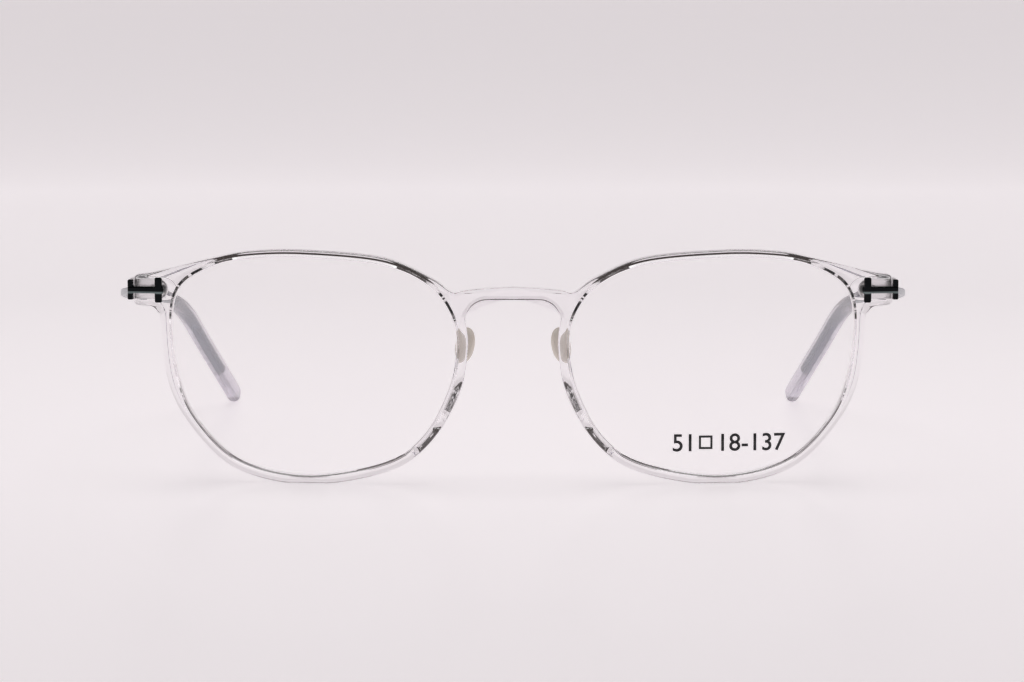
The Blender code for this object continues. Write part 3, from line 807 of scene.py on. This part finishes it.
def rings_of_front():
    """The section's points, each carried round the left half."""
    inside, outside, plane, bevel = columns_of_front()
    count = len(inside)
    from_opening = [outward(inside, i) for i in range(count)]
    off_edge = [outward(outside, i) for i in range(count)]
    flats = [i for i in range(count) if plane[i]]
    bottom, top = flats[0], flats[-1] + 1
    off_edge[bottom], off_edge[top] = Vector((0, -1)), Vector((0, 1))
    crown = bpy.context.scene.eyewear_sizes.crown

    def at_edge(i, set_in):
        if plane[i] and i != bottom:
            share = (i - bottom) / (top - bottom)
            return at_edge(bottom, set_in).lerp(at_edge(top, set_in), share)
        return outside[i] - off_edge[i] * set_in

    rings = []
    for kind, amount, depth in section_of_front():
        ring = []
        for i in range(count):
            if kind == "outer":
                point, out = at_edge(i, amount), depth
            elif kind == "back":
                cut = EDGE_ROUND + (NOSE_BEVEL - EDGE_ROUND) * bevel[i]
                straight = (1 - depth) * bevel[i] + amount * (1 - bevel[i])
                point = at_edge(i, cut * (amount + (straight - amount) * bevel[i]))
                out = RIM_DEPTH - cut * depth
            elif kind == "inner":
                point, out = inside[i] + from_opening[i] * amount, depth
            else:
                near = inside[i] + from_opening[i] * INNER_ROUND
                back = depth > RIM_DEPTH / 2
                far = at_edge(i, EDGE_ROUND + (NOSE_BEVEL - EDGE_ROUND) * bevel[i] * back)
                point = near.lerp(far, amount)
                swell = crown * 4 * amount * (1 - amount)
                out = depth - swell if depth < RIM_DEPTH / 2 else depth + swell
            ring.append(on_front(point, out))
        rings.append(ring)
    return rings


def round_ended(reach_in, reach_out, height):
    """Outline of a hinge plate with a round inner end, centred on the hinge's height."""
    inner = Vector((HINGE_X - reach_in + height / 2, HINGE_Z))
    return arc(inner, height / 2, 270, 90, 24) + [
        Vector((HINGE_X + reach_out, HINGE_Z + height / 2)),
        Vector((HINGE_X + reach_out, HINGE_Z - height / 2)),
    ]


# -------- pieces


class EYEWEAR_OT_front(bpy.types.Operator):
    """Models the clear front: grooved rims, bridge, and endpieces with their hinge pockets"""

    bl_idname = "eyewear.front"
    bl_label = "Clear front"

    def execute(self, context):
        front = loft("crystal_front", rings_of_front(), end="join")
        bpy.ops.object.mode_set(mode="EDIT")
        bpy.ops.mesh.select_mode(type="FACE")
        bpy.ops.mesh.select_all(action="DESELECT")
        work = bmesh.from_edit_mesh(front.data)
        for face in work.faces:
            face.select = all(abs(vert.co.x) < ON_MIDDLE for vert in face.verts)
        bpy.ops.mesh.delete(type="FACE")
        bpy.ops.object.mode_set(mode="OBJECT")
        use_modifier(front, "MIRROR", use_clip=True, merge_threshold=1e-6)
        tools = []
        pocket = round_ended(HINGE_X - LEAF_LOW.x + 1.5 * MM, 3 * MM, 2 * LEAF_HALF + 0.5 * MM)
        floor, mouth = RIM_DEPTH - POCKET_DEPTH, RIM_DEPTH + 1 * MM
        tools.append(plate("pocket", pocket, floor, mouth, 0.1 * MM))
        for place in rivet_places():
            middle = on_front(place, RIM_DEPTH / 2)
            tools.append(rod("rivet_hole", middle, RIVET_HOLE, RIM_DEPTH * 2, 0, "Y", RIVET_SIDES))
        tools += [mirrored(tool, tool.name + "_twin") for tool in tools]
        combine(front, tools, "DIFFERENCE")
        hand_in(front, "clear_plastic", "front", "front_frame", angle=50)
        return {"FINISHED"}


def rivet_places():
    """The upper and lower rivet's place on the front's plan."""
    x = (RIVET_LOW.x + RIVET_HIGH.x) / 2
    spread = (RIVET_LOW.z + RIVET_HIGH.z) / 2 - HINGE_Z
    return [Vector((x, HINGE_Z + spread)), Vector((x, HINGE_Z - spread))]


LENS_SIZE_X, BOX_X, BRIDGE_SIZE_X = 27.65 * MM, 33.6 * MM, 35.5 * MM  # along the print
PRINT_Z = 5.7 * MM  # its foot
NUMERAL_SHARE = 0.7  # a numeral's height as a share of the text size
INK_THICK = 0.02 * MM


class EYEWEAR_OT_lenses(bpy.types.Operator):
    """Models the demo lenses with their edge in the groove, and the size numerals printed on one"""

    bl_idname = "eyewear.lenses"
    bl_label = "Demo lenses"

    def execute(self, context):
        rows = opening_rows()
        edge = smooth(rows, 16, closed=True)
        edge = [point + outward(edge, i) * LENS_EDGE for i, point in enumerate(edge)]
        centre = sum(rows, Vector((0, 0))) / len(rows)
        half = LENS_THICKNESS / 2
        bevel = 0.05 * MM
        shares = (0.04, 0.2, 0.4, 0.6, 0.8, 0.95, 0.978)
        section = [(share, LENS_Y - half) for share in shares] + [(1.0, LENS_Y - bevel)]
        section += [(1.0, LENS_Y + bevel)] + [(share, LENS_Y + half) for share in reversed(shares)]
        rings = [
            [on_front(centre.lerp(point, share), depth) for point in edge]
            for share, depth in section
        ]
        hand_in_pair(loft("demo_lens_left", rings), "demo_lens", "front", "lens_left")
        self.print_size()
        return {"FINISHED"}

    def print_size(self):
        """Boxed lens width, bridge width and temple length, as opticians mark them."""
        height = bpy.context.scene.eyewear_sizes.print_height
        parts = []
        for words, x in (("51", LENS_SIZE_X), ("18-137", BRIDGE_SIZE_X)):
            deselect()
            bpy.ops.object.text_add()
            text = bpy.context.object
            text.data.body = words
            text.data.size = height / NUMERAL_SHARE
            text.data.offset = height * 0.015
            text.data.resolution_u = 6
            bpy.ops.object.convert(target="MESH")
            text.data.transform(Matrix.Translation((x, 0, 0)))
            parts.append(text)
        bpy.ops.mesh.primitive_plane_add(size=height * 0.8, location=(BOX_X, height / 2, 0))
        square = bpy.context.object
        bpy.ops.object.transform_apply(location=True, rotation=True, scale=True)
        bpy.ops.object.mode_set(mode="EDIT")
        bpy.ops.mesh.select_all(action="SELECT")
        bpy.ops.mesh.inset(thickness=height * 0.13)
        bpy.ops.mesh.delete(type="FACE")
        bpy.ops.object.mode_set(mode="OBJECT")
        deselect()
        for part in parts + [square]:
            part.select_set(True)
        bpy.context.view_layer.objects.active = square
        bpy.ops.object.join()
        square.name = square.data.name = "lens_size_print"
        use_modifier(square, "SOLIDIFY", thickness=INK_THICK, offset=-1)
        surface = LENS_Y - LENS_THICKNESS / 2 - 0.015 * MM
        for vert in square.data.vertices:
            vert.co = on_front(Vector((vert.co.x, vert.co.y + PRINT_Z)), surface + vert.co.z)
        bpy.ops.object.mode_set(mode="EDIT")
        close_edit()
        square.data.materials.append(print_ink())
        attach(square, "front")


PAD_SHIFT = Vector((0.35 * MM, 0, 0.3 * MM))  # in from the CAD pad's middle, and down
PAD_CAGE = (2.6 * MM, 6.8 * MM, 7.5 * MM)  # the block that subdivision rounds
PAD_SPLAY, PAD_LEAN = math.radians(-28), math.radians(-12)


class EYEWEAR_OT_pads(bpy.types.Operator):
    """Models the soft nose pads behind the rims"""

    bl_idname = "eyewear.pads"
    bl_label = "Nose pads"

    def execute(self, context):
        deselect()
        centre = (PAD_LOW + PAD_HIGH) / 2 - PAD_SHIFT
        bpy.ops.mesh.primitive_cube_add(size=1)
        pad = added("soft_nose_pad_left")
        splay, lean = Matrix.Rotation(PAD_SPLAY, 4, "Z"), Matrix.Rotation(PAD_LEAN, 4, "Y")
        size = Matrix.Diagonal((*PAD_CAGE, 1))
        pad.data.transform(Matrix.Translation(centre) @ lean @ splay @ size)
        use_modifier(pad, "SUBSURF", levels=4, render_levels=4)
        hand_in_pair(pad, "pad_plastic", "front", "nose_pad_left", angle=80)
        return {"FINISHED"}


class EYEWEAR_OT_trims(bpy.types.Operator):
    """Models the dark T-shaped trims whose stems turn the corner into side plates"""

    bl_idname = "eyewear.trims"
    bl_label = "Corner trims"

    def execute(self, context):
        inner, outer = TRIM_LOW.x + 0.3 * MM, TRIM_HIGH.x
        half_bar = (TRIM_HIGH.z - TRIM_LOW.z) / 2
        bar = self.flat(inner, inner + BAR_WIDTH, half_bar)
        stem = self.flat(TRIM_LOW.x, outer, STEM_HALF)
        trim = plate("corner_trim_metal_left", bar, -BAR_PROUD, SEAT, 0.3 * MM, segments=5)
        stem_part = plate("stem", stem, -STEM_PROUD, SEAT, 0.28 * MM, segments=5)
        side = block(
            "side_plate",
            (ENDPIECE_X + SEAT, FRONT_Y + wrap(outer) - 0.6 * MM, HINGE_Z - LEAF_HALF),
            (outer, TRIM_HIGH.y, HINGE_Z + LEAF_HALF),
            0.2 * MM,
        )
        combine(trim, [stem_part, side], "UNION")
        hand_in_pair(trim, "trim_metal", "front", "corner_trim_left")
        return {"FINISHED"}

    def flat(self, left, right, half):
        """Outline of a bar centred on the hinge's height."""
        corners = ((left, half), (right, half), (right, -half), (left, -half))
        return [Vector((x, HINGE_Z + z)) for x, z in corners]


class EYEWEAR_OT_hinges(bpy.types.Operator):
    """Models the hinge leaves, their rivets and the slotted screws"""

    bl_idname = "eyewear.hinges"
    bl_label = "Hinges"

    def execute(self, context):
        knuckle = (2 * LEAF_HALF - KNUCKLE_GAPS) / 2
        plate_back = FRONT_Y + wrap(HINGE_X) + RIM_DEPTH
        leaf = plate(
            "hinge_plate_left",
            round_ended(HINGE_X - LEAF_LOW.x, KNUCKLE_RADIUS, 2 * LEAF_HALF),
            RIM_DEPTH - LEAF_THICK, RIM_DEPTH, 0.12 * MM,
        )
        grown = []
        for side in (1, -1):
            middle = HINGE_Z + side * (LEAF_HALF - knuckle / 2)
            axis = (HINGE_X, HINGE_Y, middle)
            grown.append(rod("knuckle", axis, KNUCKLE_RADIUS, knuckle, 0.12 * MM))
            grown.append(block(
                "web",
                (HINGE_X - KNUCKLE_RADIUS, plate_back - 0.5 * MM, middle - knuckle / 2),
                (HINGE_X + KNUCKLE_RADIUS, HINGE_Y, middle + knuckle / 2), 0,
            ))
        combine(leaf, grown, "UNION")
        holes = [rod("bore", HINGE_CENTRE, SCREW_BORE, 8 * MM, 0)]
        for place in rivet_places():
            middle = on_front(place, RIM_DEPTH)
            holes.append(rod("hole", middle, RIVET_HOLE, 3 * MM, 0, "Y", RIVET_SIDES))
        combine(leaf, holes, "DIFFERENCE")
        hand_in_pair(leaf, "hinge_metal", "front", "hinge_leaf_left")
        self.rivets()
        self.screw()
        self.temple_leaf()
        return {"FINISHED"}

    def rivets(self):
        """Domed rivets, from inside the endpiece to the leaf."""
        head_shape = [(0.7, 0.0), (0.7, 0.12), (0.62, 0.24), (0.45, 0.33), (0.22, 0.38)]
        for name, place in zip(("upper", "lower"), rivet_places()):
            start, seat = on_front(place, 0.3 * MM), on_front(place, RIM_DEPTH + SEAT)
            rivet = rod(
                f"rivet_{name}_left", (start + seat) / 2, RIVET_RADIUS, (seat - start).length,
                0.05 * MM, "Y", RIVET_SIDES,
            )
            rings = [
                [seat + Vector((radius * math.cos(a), height, radius * math.sin(a))) * MM
                 for a in turns(RIVET_SIDES)]
                for radius, height in head_shape
            ]
            root = [point - Vector((0, 0.1 * MM, 0)) for point in rings[0]]
            head = loft("rivet_head", [root] + rings, start="fill")
            combine(rivet, [head], "UNION")
            hand_in_pair(rivet, "hinge_metal", "front", f"hinge_rivet_{name}_left")

    def screw(self):
        """The pivot, with a slotted head on the upper knuckle."""
        head_middle = HINGE_Z + LEAF_HALF + 0.22 * MM
        shank = rod("pivot_screw_left", HINGE_CENTRE, SCREW_RADIUS, 2 * LEAF_HALF, 0.05 * MM)
        head = rod("head", (HINGE_X, HINGE_Y, head_middle), 0.9 * MM, 0.4 * MM, 0.12 * MM)
        slot = block(
            "slot",
            (HINGE_X - 2 * MM, HINGE_Y - 0.12 * MM, head_middle),
            (HINGE_X + 2 * MM, HINGE_Y + 0.12 * MM, HINGE_Z + LEAF_HALF + 1 * MM), 0,
        )
        combine(shank, [head], "UNION")
        combine(shank, [slot], "DIFFERENCE")
        hand_in_pair(shank, "screw_steel", "front", "hinge_screw_left")

    def temple_leaf(self):
        """The middle knuckle and the plate that carries it inside the arm."""
        outer = HINGE_X + KNUCKLE_RADIUS
        inner = TEMPLE_LEAF_HIGH.x - LEAF_THICK
        leaf = block(
            "temple_hinge_plate_left",
            (inner, HINGE_Y + KNUCKLE_RADIUS + 0.3 * MM, TEMPLE_LEAF_LOW.z),
            (outer, TEMPLE_LEAF_HIGH.y, TEMPLE_LEAF_HIGH.z), 0.25 * MM,
        )
        web = block(
            "web",
            (inner, HINGE_Y, HINGE_Z - MIDDLE_KNUCKLE / 2),
            (outer, HINGE_Y + KNUCKLE_RADIUS + 1.2 * MM, HINGE_Z + MIDDLE_KNUCKLE / 2), 0.05 * MM,
        )
        barrel = rod("barrel", HINGE_CENTRE, KNUCKLE_RADIUS, MIDDLE_KNUCKLE, 0.1 * MM)
        combine(leaf, [web, barrel], "UNION")
        combine(leaf, [rod("bore", HINGE_CENTRE, SCREW_BORE, 4 * MM, 0)], "DIFFERENCE")
        hand_in_pair(leaf, "hinge_metal", "left_temple", "temple_leaf_left")


# -------- temples

ARM_WIDTH, ARM_HEIGHT = 1.0 * MM, 1.3 * MM
ARM_SIDES, ARM_SQUARENESS = 24, 0.55  # 1 is an ellipse, towards 0 a box
ARM_END_ROUND = 0.3 * MM
CORE_SHARE_LOST = 0.35  # of the arm's section, inside the tip
CORE_TAPER = 8 * MM
ARM_SPRING = 5.2 * MM  # how far the arm bows out
HINGE_STRAIGHT = 8 * MM
ARM_BOW = [(0.17, 0.80), (0.30, 1.00), (0.45, 0.66), (0.60, 0.21)]  # shares of the reach and spring
TIP_BOW = [(0.70, 0.08), (0.80, 0.36), (1.00, 1.00)]  # shares of the reach and the turn in
BEND_START = 78 * MM
BEND_LENGTH = 20 * MM
ARM_SLOPE = math.radians(6.2)
TIP_TURN_IN = 7.7 * MM
TIP_LENGTH = 60 * MM
TIP_TALL = 4.0 * MM
TIP_THICK = 3.0 * MM
TIP_MOUTH = 0.72  # its section there, as a share of the full one
TIP_SIDES, TIP_SQUARENESS = 32, 0.85
CORE_SHORT = 12.5 * MM  # from the core's end to the tip's
RING_STEP = 1.5 * MM


def fall(s):
    """The ear bend's drop at s behind the hinge for a slope of 1: none before the bend."""
    t = s - BEND_START
    if t <= 0:
        return 0.0
    if t < BEND_LENGTH:
        return t * t / (2 * BEND_LENGTH)
    return t - BEND_LENGTH / 2


def temple_point(s):
    """Centre of the arm and tip at s behind the hinge axis."""
    nose = TEMPLE_REACH - TIP_TALL / 2
    ear_slope = (HINGE_Z - math.tan(ARM_SLOPE) * nose - TIP_TALL / 2) / fall(nose)
    sideways = [Vector((0.0, 0.0)), Vector((HINGE_STRAIGHT, 0.0))]
    sideways += [Vector((share * TEMPLE_REACH, bow * ARM_SPRING)) for share, bow in ARM_BOW]
    sideways += [Vector((share * TEMPLE_REACH, -turn * TIP_TURN_IN)) for share, turn in TIP_BOW]
    behind = max(s, 0.0)
    i = max(k for k in range(len(sideways) - 1) if sideways[k].x <= behind)
    low, high = 0.0, 1.0
    for _ in range(30):  # halvings, to find s on the curve
        middle = (low + high) / 2
        if curve_at(sideways, i + middle, False).x < behind:
            low = middle
        else:
            high = middle
    out = curve_at(sideways, i + min(low, 0.999999), False).y
    height = HINGE_Z - math.tan(ARM_SLOPE) * behind - ear_slope * fall(s)
    return Vector((ARM_X + out, HINGE_Y + s, height))


def oval(s, width, height, sides, power):
    """A rounded section across the temple at s behind the hinge."""
    near = 0.2 * MM
    along = (temple_point(s + near) - temple_point(s - near)).normalized()
    across = along.cross(Vector((0, 0, 1))).normalized()
    up = across.cross(along)
    made = []
    for a in turns(sides):
        x = math.copysign(abs(math.cos(a)) ** power, math.cos(a)) * width / 2
        z = math.copysign(abs(math.sin(a)) ** power, math.sin(a)) * height / 2
        made.append(temple_point(s) + across * x + up * z)
    return made


def core_size(s):
    """The arm's section narrows to a slim core inside the tip."""
    inside = clamp((s - (TEMPLE_REACH - TIP_LENGTH)) / CORE_TAPER)
    return 1.0 - CORE_SHARE_LOST * eased(inside)


def arm_ring(s, size):
    """The arm's section at s behind the hinge, at this share of its size."""
    return oval(s, ARM_WIDTH * size, ARM_HEIGHT * size, ARM_SIDES, ARM_SQUARENESS)


def tip_ring(s, size):
    """The tip's outer section at s behind the hinge, at this share of its size."""
    return oval(s, TIP_THICK * size, TIP_TALL * size, TIP_SIDES, TIP_SQUARENESS)


def spaced(start, end):
    """Places for rings between two ends, about a ring's step apart."""
    count = max(1, round((end - start) / RING_STEP))
    return [start + (end - start) * k / count for k in range(count + 1)]


class EYEWEAR_OT_temples(bpy.types.Operator):
    """Models the metal arms with their flanges, and the clear tips over the arms' cores"""

    bl_idname = "eyewear.temples"
    bl_label = "Temples"

    def execute(self, context):
        self.arm()
        self.tip()
        return {"FINISHED"}

    def arm(self):
        """The arm with its core and rounded end, and the flange that stops on the endpiece."""
        start, end = ARM_LOW.y - HINGE_Y, TEMPLE_REACH - CORE_SHORT
        rounding = end - ARM_END_ROUND
        rings = [arm_ring(s, core_size(s)) for s in spaced(start + 0.5 * MM, rounding)]
        for share, size in ((0.5, 0.85), (0.85, 0.5), (1.0, 0.12)):
            rings.append(arm_ring(rounding + share * ARM_END_ROUND, size * core_size(end)))
        arm = loft("metal_arm_left", rings, start="fill")
        flange = block(
            "flange",
            (ARM_X - ARM_WIDTH / 2, HINGE_Y + start, HINGE_Z - LEAF_HALF),
            (ARM_X + ARM_WIDTH / 2, HINGE_Y + start + 1.2 * MM, HINGE_Z + LEAF_HALF), 0.2 * MM, 4,
        )
        combine(arm, [flange], "UNION")
        hand_in_pair(arm, "arm_metal", "left_temple", "temple_arm_left")

    def tip(self):
        """The sleeve's skin from its round nose to its mouth, and back in along its bore."""
        gap = bpy.context.scene.eyewear_sizes.core_gap
        start = TEMPLE_REACH - TIP_LENGTH
        nose = TIP_TALL / 2
        nose_start = TEMPLE_REACH - nose
        angles = [math.radians(4 + 86 * k / 11) for k in range(12)]
        rings = [tip_ring(nose_start + nose * math.cos(a), math.sin(a)) for a in angles]
        for s in reversed(spaced(start + 0.25 * MM, nose_start)[:-1]):
            full = eased(min(1.0, (s - start) / TIP_LENGTH * 2.2))
            rings.append(tip_ring(s, TIP_MOUTH + (1 - TIP_MOUTH) * full))
        rings.append(tip_ring(start, TIP_MOUTH * 0.93))
        for s in spaced(start, TEMPLE_REACH - CORE_SHORT + gap):
            width, height = ARM_WIDTH * core_size(s), ARM_HEIGHT * core_size(s)
            rings.append(oval(s, width + 2 * gap, height + 2 * gap, TIP_SIDES, ARM_SQUARENESS))
        tip = loft("clear_tip_left", rings)
        hand_in_pair(tip, "tip_plastic", "left_temple", "temple_tip_left", angle=60)


# -------- stage


FLOOR_RADIUS, BEND_RADIUS, FLOOR_Z = 1.1, 0.6, -0.00003
# painted light on the floor and painted shade on the wall, in both the backdrop's colour and its
# glow
FLOOR_PAINTED_LIGHT, WALL_PAINTED_SHADE = 1.065, 0.92  # of the backdrop's colour
GLOW = 0.62
WORLD_COLOUR, WORLD_STRENGTH = (0.58, 0.49, 0.47, 1), 0.10
BOXES = (  # name, place, size, watts
    ("top_box", (0.0, 0.1, 1.5), (1.5, 1.5), 7.6),
    ("front_box", (0.3, -1.5, 0.40), (2.0, 0.5), 0.8),
)
BOXES_AIM = (0, 0.1, 0.0)
CAMERA_DISTANCE, CAMERA_HEIGHT, CAMERA_PITCH = 0.600, 0.078, math.radians(5.03)
CAMERA_LENS, SENSOR_WIDTH, CAMERA_SHIFT = 122.34375, 36, -1.0 / 1024


class EYEWEAR_OT_stage(bpy.types.Operator):
    """Sets the pale floor and wall, the soft lights and the camera"""

    bl_idname = "eyewear.stage"
    bl_label = "Stage"

    def execute(self, context):
        self.sweep()
        self.lights()
        self.camera()
        return {"FINISHED"}

    def sweep(self):
        """A round floor that bends up into a wall, with painted light and shade: its colour and
        glow are brighter on the floor and darker on the wall.
        """
        bends = [math.radians(a) for a in range(0, 81, 5)]
        profile = [
            (FLOOR_RADIUS + BEND_RADIUS * math.sin(a), FLOOR_Z + BEND_RADIUS * (1 - math.cos(a)))
            for a in bends
        ]
        rings = [
            [Vector((radius * math.cos(a), radius * math.sin(a), z)) for a in turns(160)]
            for radius, z in profile
        ]
        sweep = loft("studio_sweep", rings, start="fill", end="open")
        deselect()
        sweep.select_set(True)
        bpy.ops.object.shade_smooth()
        graph = Graph("backdrop")
        colour = chosen("backdrop")
        sockets = {0: graph.place()}
        away = graph.add("ShaderNodeVectorMath", {"operation": "LENGTH"}, sockets, LENGTH)
        # share runs from the middle of the floor out to the wall: painted light near the middle,
        # painted shade further out
        share = graph.step(away, 0.02, 0.40) * 0.9 + graph.noise(3, 2) * 0.1
        backdrop_with_painted_falloff = graph.mix(share, rgba(colour, FLOOR_PAINTED_LIGHT), rgba(colour, WALL_PAINTED_SHADE))
        graph.surface(
            Base_Color=backdrop_with_painted_falloff,
            Roughness=0.35,
            Specular_IOR_Level=0.3,
            Emission_Color=backdrop_with_painted_falloff,
            Emission_Strength=GLOW,
        )
        sweep.data.materials.append(graph.material)

    def lights(self):
        """A faint world and two soft boxes."""
        world = bpy.data.worlds.new("studio")
        bpy.context.scene.world = world
        world.use_nodes = True
        background = world.node_tree.nodes["Background"]
        background.inputs["Color"].default_value = WORLD_COLOUR
        background.inputs["Strength"].default_value = WORLD_STRENGTH
        for name, place, size, watts in BOXES:
            bpy.ops.object.light_add(type="AREA", location=place)
            lamp = bpy.context.object
            lamp.name = name
            lamp.data.shape = "RECTANGLE"
            lamp.data.size, lamp.data.size_y = size
            lamp.data.energy = watts
            towards = Vector(BOXES_AIM) - Vector(place)
            lamp.rotation_euler = towards.to_track_quat("-Z", "Y").to_euler()

    def camera(self):
        """A long lens, level with the frame and looking slightly down on it."""
        bpy.ops.object.camera_add(location=(0.0, FRONT_Y - CAMERA_DISTANCE, CAMERA_HEIGHT))
        camera = bpy.context.object
        camera.rotation_euler = (math.pi / 2 - CAMERA_PITCH, 0, 0)
        camera.data.sensor_width = SENSOR_WIDTH
        camera.data.lens = CAMERA_LENS
        camera.data.clip_start = 0.01
        camera.data.shift_x = CAMERA_SHIFT
        bpy.context.scene.camera = camera
        bpy.context.scene.view_settings.view_transform = "Standard"


# -------- panel and registration


STEPS = ("front", "lenses", "pads", "trims", "hinges", "temples", "stage")


class EYEWEAR_PT_panel(bpy.types.Panel):
    """Lists the sizes, the colours and one button for each group of pieces"""

    bl_label = "Eyeglasses frame"
    bl_idname = "EYEWEAR_PT_panel"
    bl_space_type = "VIEW_3D"
    bl_region_type = "UI"
    bl_category = "Eyewear"

    def draw(self, context):
        for group in (context.scene.eyewear_sizes, context.scene.eyewear_colours):
            for key in group.__annotations__:
                self.layout.prop(group, key)
        for step in STEPS:
            self.layout.operator(f"eyewear.{step}")


CLASSES = (
    FrameSizes, FrameColours, EYEWEAR_OT_front, EYEWEAR_OT_lenses, EYEWEAR_OT_pads,
    EYEWEAR_OT_trims, EYEWEAR_OT_hinges, EYEWEAR_OT_temples, EYEWEAR_OT_stage, EYEWEAR_PT_panel,
)


def register():
    for cls in CLASSES:
        bpy.utils.register_class(cls)
    bpy.types.Scene.eyewear_sizes = bpy.props.PointerProperty(type=FrameSizes)
    bpy.types.Scene.eyewear_colours = bpy.props.PointerProperty(type=FrameColours)


def unregister():
    del bpy.types.Scene.eyewear_colours
    del bpy.types.Scene.eyewear_sizes
    for cls in reversed(CLASSES):
        bpy.utils.unregister_class(cls)


def main():
    register()
    for step in STEPS:
        getattr(bpy.ops.eyewear, step)()


if __name__ == "__main__":
    main()
